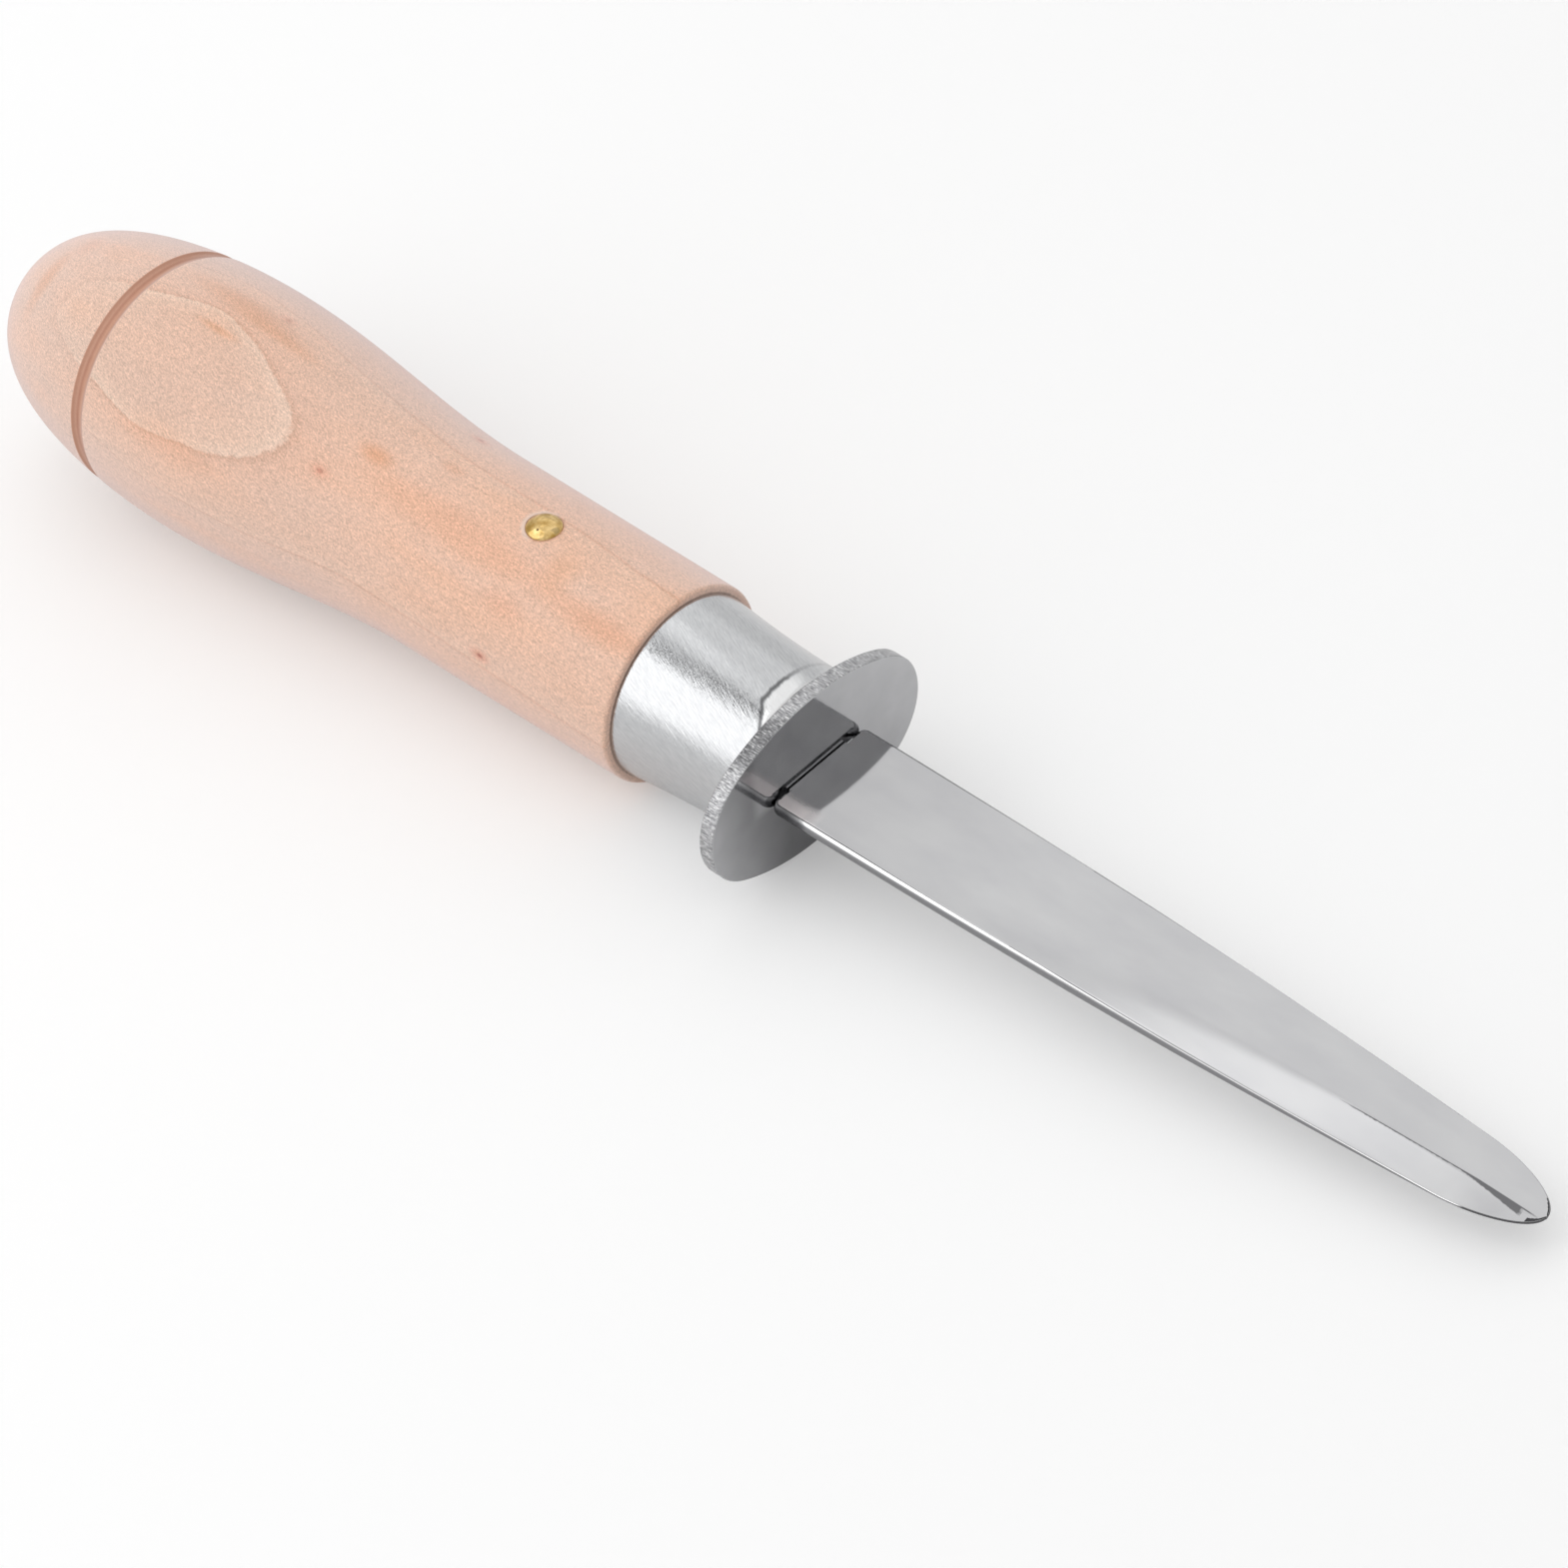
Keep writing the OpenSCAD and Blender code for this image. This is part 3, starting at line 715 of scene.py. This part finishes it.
stations = []
for start, end, steps in ((0, shoulder_break, 3), (shoulder_break, shoulder_r, 8),
                          (shoulder_r, tip_x, 120)):
    stations += [start + (end - start) * i / steps for i in range(steps)]
tip_steps = 40
stations += [tip_x + tip_len * math.sin(math.pi / 2 * i / tip_steps)
             for i in range(tip_steps + 1)]
rows = len(stations) - 1
bm = bmesh.new()
bmesh.ops.create_grid(bm, x_segments=rows, y_segments=2 * half_cols, size=1)
for v in bm.verts:
    row = round((v.co.x + 1) / 2 * rows)
    col = round(v.co.y * half_cols)
    place = across(stations[row], col)
    v.co = (place.x, math.copysign(place.y, col), place.z)
bmesh.ops.mirror(bm, geom=bm.verts[:] + bm.edges[:] + bm.faces[:], matrix=Matrix.Identity(4),
                 merge_dist=weld, axis="Z")
bmesh.ops.remove_doubles(bm, verts=bm.verts, dist=2 * weld)
bmesh.ops.edgeloop_fill(bm, edges=[e for e in bm.edges if e.is_boundary])
bmesh.ops.recalc_face_normals(bm, faces=bm.faces)
bmesh.ops.translate(bm, vec=(guard_x, 0, axis_z), verts=bm.verts)
blade = new_piece("blade_and_tang", bm)

tang_in = 0.003
tang_bm = block(Vector((guard_x - tang_len, -tang_half_w, axis_z - tang_half_t)),
                Vector((guard_x + tang_in, tang_half_w, axis_z + tang_half_t)))
carve(blade, new_piece("tang_tool", tang_bm), "UNION")
hole_bm = bmesh.new()
bmesh.ops.create_cone(hole_bm, cap_ends=True, segments=hole_steps, radius1=pin_hole_r,
                      radius2=pin_hole_r, depth=4 * tang_half_t)
bmesh.ops.translate(hole_bm, vec=(pin_x, 0, axis_z), verts=hole_bm.verts)
carve(blade, new_piece("tang_hole_tool", hole_bm), "DIFFERENCE")
blade.data.shade_smooth()
blade.data.set_sharp_from_angle(angle=math.radians(30))

# Polished stainless steel: a clear grey mirror with a light haze, fine lengthwise scratches
# and faint clouds. The land along the ridge was missed by the wheel and is dull and grey: a
# thin line that spreads into a ragged wedge near the tip.
stainless, tree, spot, surface = new_finish("polished_stainless_steel", (guard_x, 0, axis_z))
along = add(tree, "SeparateXYZ", {"Vector": spot})
x_mm = along.outputs["X"]
y_mm = along.outputs["Y"]
cloud_spot = add(tree, "Mapping", {"Vector": spot, "Scale": (1 / 9, 1 / 4, 1 / 4)})
cloud = add(tree, "TexNoise", {"Vector": cloud_spot, "Scale": 1, "Detail": 3})
tone = add(tree, "ValToRGB", {"Fac": cloud}, ramp=[(0.3, "#c2c2c4"), (0.7, "#cacacb")])
# Painted shade: the colour darkens towards the root, for the dark reflection that the root shows.
root_painted_shade = add(tree, "MapRange", {
    "Value": x_mm, "From Min": 5, "From Max": 24, "To Min": 0.13, "To Max": 0})
tone = add(tree, "MixRGB", {"Fac": root_painted_shade, "Color1": tone, "Color2": linear("#2a2426")})
fleck = add(tree, "TexNoise", {"Vector": spot, "Scale": 1 / 0.35, "Detail": 2})
fleck_mm = add(tree, "MapRange", {"Value": fleck, "To Min": -0.35, "To Max": 0.35})
land_top = add(tree, "MapRange", {
    "Value": x_mm, "From Min": 63.5, "From Max": 78.5, "To Min": -1.15, "To Max": -0.6})
land_spread = add(tree, "Math", {0: x_mm, 1: -76.6}, operation="ADD")
land_spread = add(tree, "Math", {0: land_spread, 1: 0}, operation="MAXIMUM")
land_width = add(tree, "Math", {0: land_spread, 1: 0.115, 2: 0.14}, operation="MULTIPLY_ADD")
land_depth = add(tree, "Math", {0: land_top, 1: y_mm}, operation="SUBTRACT")
land_in = add(tree, "MapRange", {"Value": land_depth, "From Min": -0.04, "From Max": 0.04})
land_left = add(tree, "Math", {0: land_width, 1: land_depth}, operation="SUBTRACT")
land_frayed = add(tree, "Math", {0: fleck_mm, 1: 0.3, 2: land_left}, operation="MULTIPLY_ADD")
land_out = add(tree, "MapRange", {"Value": land_frayed, "From Min": -0.05, "From Max": 0.05})
land_start = add(tree, "MapRange", {"Value": x_mm, "From Min": 63.5, "From Max": 66})
land_x = add(tree, "Math", {0: x_mm, 1: fleck_mm}, operation="ADD")
land_end = add(tree, "MapRange", {"Value": land_x, "From Min": 83.6, "From Max": 83.2})
land_tail = add(tree, "MapRange", {"Value": x_mm, "From Min": 85, "From Max": 84})
land_thin = add(tree, "MapRange", {"Value": land_depth, "From Min": 0.2, "From Max": 0.12})
land_tail = add(tree, "Math", {0: land_tail, 1: land_thin}, operation="MULTIPLY")
land = add(tree, "Math", {0: land_end, 1: land_tail}, operation="MAXIMUM")
for part in (land_in, land_out, land_start):
    land = add(tree, "Math", {0: land, 1: part}, operation="MULTIPLY")
tone = add(tree, "MixRGB", {"Fac": land, "Color1": tone, "Color2": linear("#747476")})

# Along the guard a dark line is painted shade of the gap at the seat. Towards that corner the top
# falls away by a few degrees, and its near corner carries a painted highlight, a pale patch.
seam_shade = add(tree, "MapRange", {"Value": x_mm, "From Min": 0.16, "From Max": 0.1})
tone = add(tree, "MixRGB", {"Fac": seam_shade, "Color1": tone, "Color2": linear("#1c1c1e")})
corner_x = add(tree, "MapRange", {"Value": x_mm, "From Min": 5.5, "From Max": 3.5})
corner_y = add(tree, "MapRange", {"Value": y_mm, "From Min": -4.2, "From Max": -5.2})
corner_highlight = add(tree, "Math", {0: corner_x, 1: corner_y}, operation="MULTIPLY")
corner_highlight = add(tree, "Math", {0: corner_highlight, 1: seam_shade}, operation="SUBTRACT", use_clamp=True)
tone = add(tree, "MixRGB", {"Fac": corner_highlight, "Color1": tone, "Color2": linear("#dcd6d6")})
dulls = add(tree, "Math", {0: land, 1: corner_highlight}, operation="MAXIMUM")
rough = add(tree, "MapRange", {"Value": dulls, "To Min": 0.07, "To Max": 0.4})
fall_len = 7
fall_blend = 4
fall_from_y = 6.3
fall_x = add(tree, "Math", {0: x_mm, 1: fall_len, 2: fall_blend}, operation="SMOOTH_MIN")
fall_x = add(tree, "Math", {0: fall_x, 1: -fall_len}, operation="ADD")
fall_y = add(tree, "Math", {0: y_mm, 1: -fall_from_y}, operation="ADD")
fall = add(tree, "Math", {0: fall_x, 1: fall_y}, operation="MULTIPLY")
fall_bump = add(tree, "Bump", {"Height": fall, "Distance": 0.0000065, "Strength": 1})
scratch_spot = add(tree, "Mapping", {"Vector": spot, "Scale": (1 / 6, 1 / 0.12, 1 / 0.12)})
scratch = add(tree, "TexNoise", {"Vector": scratch_spot, "Scale": 1, "Detail": 2})
scratch_bump = add(tree, "Bump", {
    "Height": scratch, "Distance": 0.000003, "Strength": 0.3, "Normal": fall_bump})
fill(surface, {"Base Color": tone, "Normal": scratch_bump, "Metallic": 1, "Roughness": rough})
blade.data.materials.clear()
blade.data.materials.append(stainless)

# Buffed side: the rounded sides were buffed by hand. Their colour is painted light: a painted
# highlight just under their upper corner with a painted dark line above it, and painted shade
# below, at the root, at the tip and on the far side.
side_painted_light, tree, spot, surface = new_finish("buffed_side_painted_light", (guard_x, 0, axis_z))
along = add(tree, "SeparateXYZ", {"Vector": spot})
side_half = add(tree, "MapRange", {
    "Value": along.outputs["X"], "From Min": taper_start * to_mm,
    "From Max": taper_end * to_mm, "To Min": root_half_t * to_mm, "To Max": rim_half_t * to_mm})
side_level = add(tree, "Math", {0: along.outputs["Z"], 1: side_half}, operation="DIVIDE")
side_share = add(tree, "MapRange", {"Value": side_level, "From Min": -1, "From Max": 1})
tone = add(tree, "ValToRGB", {"Fac": side_share}, ramp=[
    (0.0, "#88888a"), (0.65, "#909092"), (0.76, "#9c9c9e"), (0.83, "#d4d4d6"),
    (0.885, "#fafafa"), (0.955, "#fafafa"), (0.97, "#606062"), (1.0, "#707072")])
at_root = add(tree, "MapRange", {
    "Value": along.outputs["X"], "From Min": 4.5, "From Max": 2, "To Max": 0.65})
at_tip = add(tree, "MapRange", {
    "Value": along.outputs["X"], "From Min": 78.6, "From Max": 79.2, "To Max": 0.85})
at_far = add(tree, "MapRange", {
    "Value": along.outputs["Y"], "From Min": 0, "From Max": 0.5, "To Max": 0.6})
side_painted_shade = add(tree, "Math", {0: at_root, 1: at_tip}, operation="MAXIMUM")
side_painted_shade = add(tree, "Math", {0: side_painted_shade, 1: at_far}, operation="MAXIMUM")
tone = add(tree, "MixRGB", {"Fac": side_painted_shade, "Color1": tone, "Color2": linear("#3c3c3e")})
fill(surface, {"Base Color": tone, "Metallic": 1, "Roughness": 0.16})
blade.data.materials.append(side_painted_light)
for face in blade.data.polygons:
    face.material_index = int(abs(face.normal.z) < 0.98 and face.center.x > guard_x)
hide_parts("blade")
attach(blade, "root")

# The pin is a brass rivet driven through handle and tang, and peened over at both ends into
# small domes that the hammer left slightly faceted.
dome_r = (pin_head_r ** 2 + pin_dome_h ** 2) / (2 * pin_dome_h)
dome_turn = math.asin(pin_head_r / dome_r)
dome_rings = 16
dome_top = []
for i in range(dome_rings + 1):
    turn = dome_turn * (1 - i / dome_rings)
    dome_top.append((dome_r * math.sin(turn),
                     pin_level + pin_dome_h - dome_r * (1 - math.cos(turn))))
bm = cross_pin(0, dome_top, 96)
dent_depth = 0.00009
dent_width = 0.0011
dent_from = Vector((3.7, 1.3, 0.4))
dent_more = 0.3
for v in bm.verts:
    lift = share(abs(v.co.z - axis_z), pin_level, pin_level + pin_dome_h)
    dent = max(0, noise.noise(v.co / dent_width + dent_from) + dent_more)
    v.co.z -= math.copysign(lift * dent_depth * dent, v.co.z - axis_z)
pin = new_piece("brass_pin", bm)
pin.data.set_sharp_from_angle(angle=math.radians(50))

# Rolled brass, peened: warm and bright, with fine dents and a browner film in patches.
brass, tree, spot, surface = new_finish("peened_brass", (pin_x, 0, axis_z))
film = add(tree, "TexNoise", {"Vector": spot, "Scale": 1 / 0.9, "Detail": 2})
tone = add(tree, "ValToRGB", {"Fac": film}, ramp=[(0.3, "#b4904c"), (0.7, "#efcf92")])
dents = add(tree, "TexVoronoi", {"Vector": spot, "Scale": 1 / 0.8}, feature="SMOOTH_F1")
dent_bump = add(tree, "Bump", {"Height": dents, "Distance": 0.00014, "Strength": 0.6})
fill(surface, {"Base Color": tone, "Normal": dent_bump, "Metallic": 1, "Roughness": 0.14})
pin.data.materials.append(brass)
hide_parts("pin")
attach(pin, "root")

# The tang is bedded in a poured resin that fills the slot in the handle. It is amber and slightly
# cloudy, and the closed handle hides it.
resin, tree, spot, surface = new_finish("cast_bedding_resin", (pin_x, 0, axis_z))
haze = add(tree, "TexNoise", {"Vector": spot, "Scale": 1 / 2.5, "Detail": 3})
tone = add(tree, "ValToRGB", {"Fac": haze}, ramp=[(0.3, "#7d6a4a"), (0.7, "#a08a62")])
fill(surface, {"Base Color": tone, "Roughness": 0.35, "IOR": 1.53})
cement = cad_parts["tang_cement"]
cement.data.materials.clear()
cement.data.materials.append(resin)

# The knife lies on a pale board, on the guard's edge and on the front of the handle, so the
# board is tilted to touch both. It looks white to the eye and in the steel, and keeps the
# knife's shadow.
touch_x = (guard_low.x + guard_high.x) / 2
behind_guard = 0.02
slope = max((guard_low.z - v.co.z) / (touch_x - v.co.x)
            for v in handle.data.vertices if v.co.x < touch_x - behind_guard)
board_half = 3
board_gap = 0.00002
bm = bmesh.new()
bmesh.ops.create_grid(bm, x_segments=1, y_segments=1, size=board_half)
bmesh.ops.rotate(bm, cent=(0, 0, 0), matrix=Matrix.Rotation(-math.atan(slope), 3, "Y"),
                 verts=bm.verts)
bmesh.ops.translate(bm, vec=(touch_x, 0, guard_low.z - board_gap), verts=bm.verts)
board = new_piece("board", bm)
painted, tree, spot, surface = new_finish("matt_white_board", (0, 0, 0))
fill(surface, {"Base Color": linear("#e3e3e3"), "Roughness": 0.9, "Specular IOR Level": 0})


def seen_by_eye_or_gloss(tree):
    """1 where the eye, a shiny surface or glass looks at the surface, 0 where light falls on."""
    path = add(tree, "LightPath")
    seen = add(tree, "Math", {
        0: path.outputs["Is Camera Ray"], 1: path.outputs["Is Glossy Ray"]}, operation="MAXIMUM")
    return add(tree, "Math", {0: seen, 1: path.outputs["Is Transmission Ray"]},
               operation="MAXIMUM")


glow_level = 0.11
path = add(tree, "LightPath")
glow = add(tree, "Math", {0: seen_by_eye_or_gloss(tree), 1: glow_level}, operation="MULTIPLY")
glow = add(tree, "Math", {
    0: path.outputs["Is Camera Ray"], 1: glow_level, 2: glow}, operation="MULTIPLY_ADD")
glow = add(tree, "Emission", {"Strength": glow})
both = add(tree, "AddShader", {0: surface, 1: glow})
add(tree, "OutputMaterial", {"Surface": both}).is_active_output = True
board.data.materials.append(painted)

# The room gives an even pale light, which the eye and the steel see as white.
world = bpy.data.worlds.new("pale_room")
bpy.context.scene.world = world
world.use_nodes = True
tree = world.node_tree
tree.nodes.clear()
level = add(tree, "MapRange", {"Value": seen_by_eye_or_gloss(tree), "To Min": 0.8, "To Max": 1.0})
add(tree, "OutputWorld", {"Surface": add(tree, "Background", {"Strength": level})})


def studio_card(name, centre, turn, half_x, half_y):
    """A card of the studio, turned about its centre, which only reflections and light show."""
    bm = bmesh.new()
    bmesh.ops.create_grid(bm, x_segments=1, y_segments=1, size=1)
    bmesh.ops.scale(bm, vec=(half_x, half_y, 1), verts=bm.verts)
    bmesh.ops.rotate(bm, cent=(0, 0, 0), matrix=Euler(turn).to_matrix(), verts=bm.verts)
    bmesh.ops.translate(bm, vec=centre, verts=bm.verts)
    card = new_piece(name, bm)
    card.visible_camera = False
    return card


def soft_sheet(name, centre, turn, half_x, half_y, full_level, edge_level, fades):
    """A glowing card that fades towards its sides, its lower end and its upper end."""
    card = studio_card(name, centre, turn, half_x, half_y)
    sheet, tree = bare_finish(name)
    coords = add(tree, "TexCoord")
    own = add(tree, "Mapping", {
        "Vector": coords.outputs["Object"], "Location": centre, "Rotation": turn,
        "Scale": (half_x, half_y, 1)}, vector_type="TEXTURE")
    parts = add(tree, "SeparateXYZ", {"Vector": own})
    side_far = add(tree, "Math", {0: parts.outputs["X"]}, operation="ABSOLUTE")
    full = None
    for value, edge, fade in ((side_far, 1, -fades[0]), (parts.outputs["Y"], -1, fades[1]),
                              (parts.outputs["Y"], 1, -fades[2])):
        inside = add(tree, "MapRange", {
            "Value": value, "From Min": edge, "From Max": edge + fade},
            interpolation_type="SMOOTHSTEP")
        full = inside if full is None else add(tree, "Math", {0: full, 1: inside},
                                               operation="MULTIPLY")
    level = add(tree, "MapRange", {"Value": full, "To Min": edge_level, "To Max": full_level})
    add(tree, "OutputMaterial", {"Surface": add(tree, "Emission", {"Strength": level})})
    card.data.materials.append(sheet)


soft_sheet("ceiling_sheet", centre=(-0.4, 0.65, 0.86), turn=(0, 0, 0), half_x=1.1, half_y=1.0,
           full_level=1.0, edge_level=0.95, fades=(0.2, 0.2, 0.2))
soft_sheet("overhead_soft_box", centre=(-0.3, 0.3, 0.8), turn=(0, 0, 0), half_x=0.15,
           half_y=0.2, full_level=1.36, edge_level=0.94, fades=(0.9, 0.1, 0.75))
soft_sheet("side_soft_box", centre=(-0.33, -0.55, 0.353), turn=(math.radians(33.9), 0, 0),
           half_x=0.42, half_y=0.543, full_level=1.73, edge_level=1.0, fades=(0.3, 0.55, 0.05))


def plain_card(name, centre, turn, half_x, half_y, hex_colour):
    """A dull painted card."""
    card = studio_card(name, centre, turn, half_x, half_y)
    paint, tree, spot, surface = new_finish(name, (0, 0, 0))
    fill(surface, {"Base Color": linear(hex_colour), "Roughness": 0.9, "Specular IOR Level": 0})
    card.data.materials.append(paint)


# The dark frame between the soft boxes gives the ferrule its dark line. A grey card stands
# across from the camera, so that the guard and the root of the blade mirror it in each other.
plain_card("dark_frame", centre=(-0.255, -0.142, 0.57), turn=(0, 0, math.radians(148)),
           half_x=0.1, half_y=0.05, hex_colour="#141414")
plain_card("grey_card", centre=(0.494, 0.485, 0.722), turn=(math.radians(-34), 0, 0),
           half_x=0.35, half_y=0.35, hex_colour="#eeeeee")

# The camera: its direction, roll and distance, the point it looks at, and its lens.
view_turn = math.radians(45.54)
view_lift = math.radians(46.22)
view_roll = math.radians(-4.56)
view_far = 0.499
view_point = Vector((0.00916, -0.00190, 0.01146))
frame_px = 1569
focal_px = 5238.54
back = Vector((math.sin(view_turn) * math.cos(view_lift),
               -math.cos(view_turn) * math.cos(view_lift), math.sin(view_lift)))
camera_data = bpy.data.cameras.new("camera")
camera_data.sensor_width = 36
camera_data.lens = camera_data.sensor_width * focal_px / frame_px
camera_data.clip_start = 0.01
camera_data.clip_end = 50
camera = bpy.data.objects.new("camera", camera_data)
camera.location = view_point + back * view_far
camera.rotation_mode = "QUATERNION"
camera.rotation_quaternion = (back.to_track_quat("Z", "Y")
                              @ Matrix.Rotation(view_roll, 3, "Z").to_quaternion())
bpy.context.scene.collection.objects.link(camera)
bpy.context.scene.camera = camera
bpy.context.scene.view_settings.view_transform = "Standard"
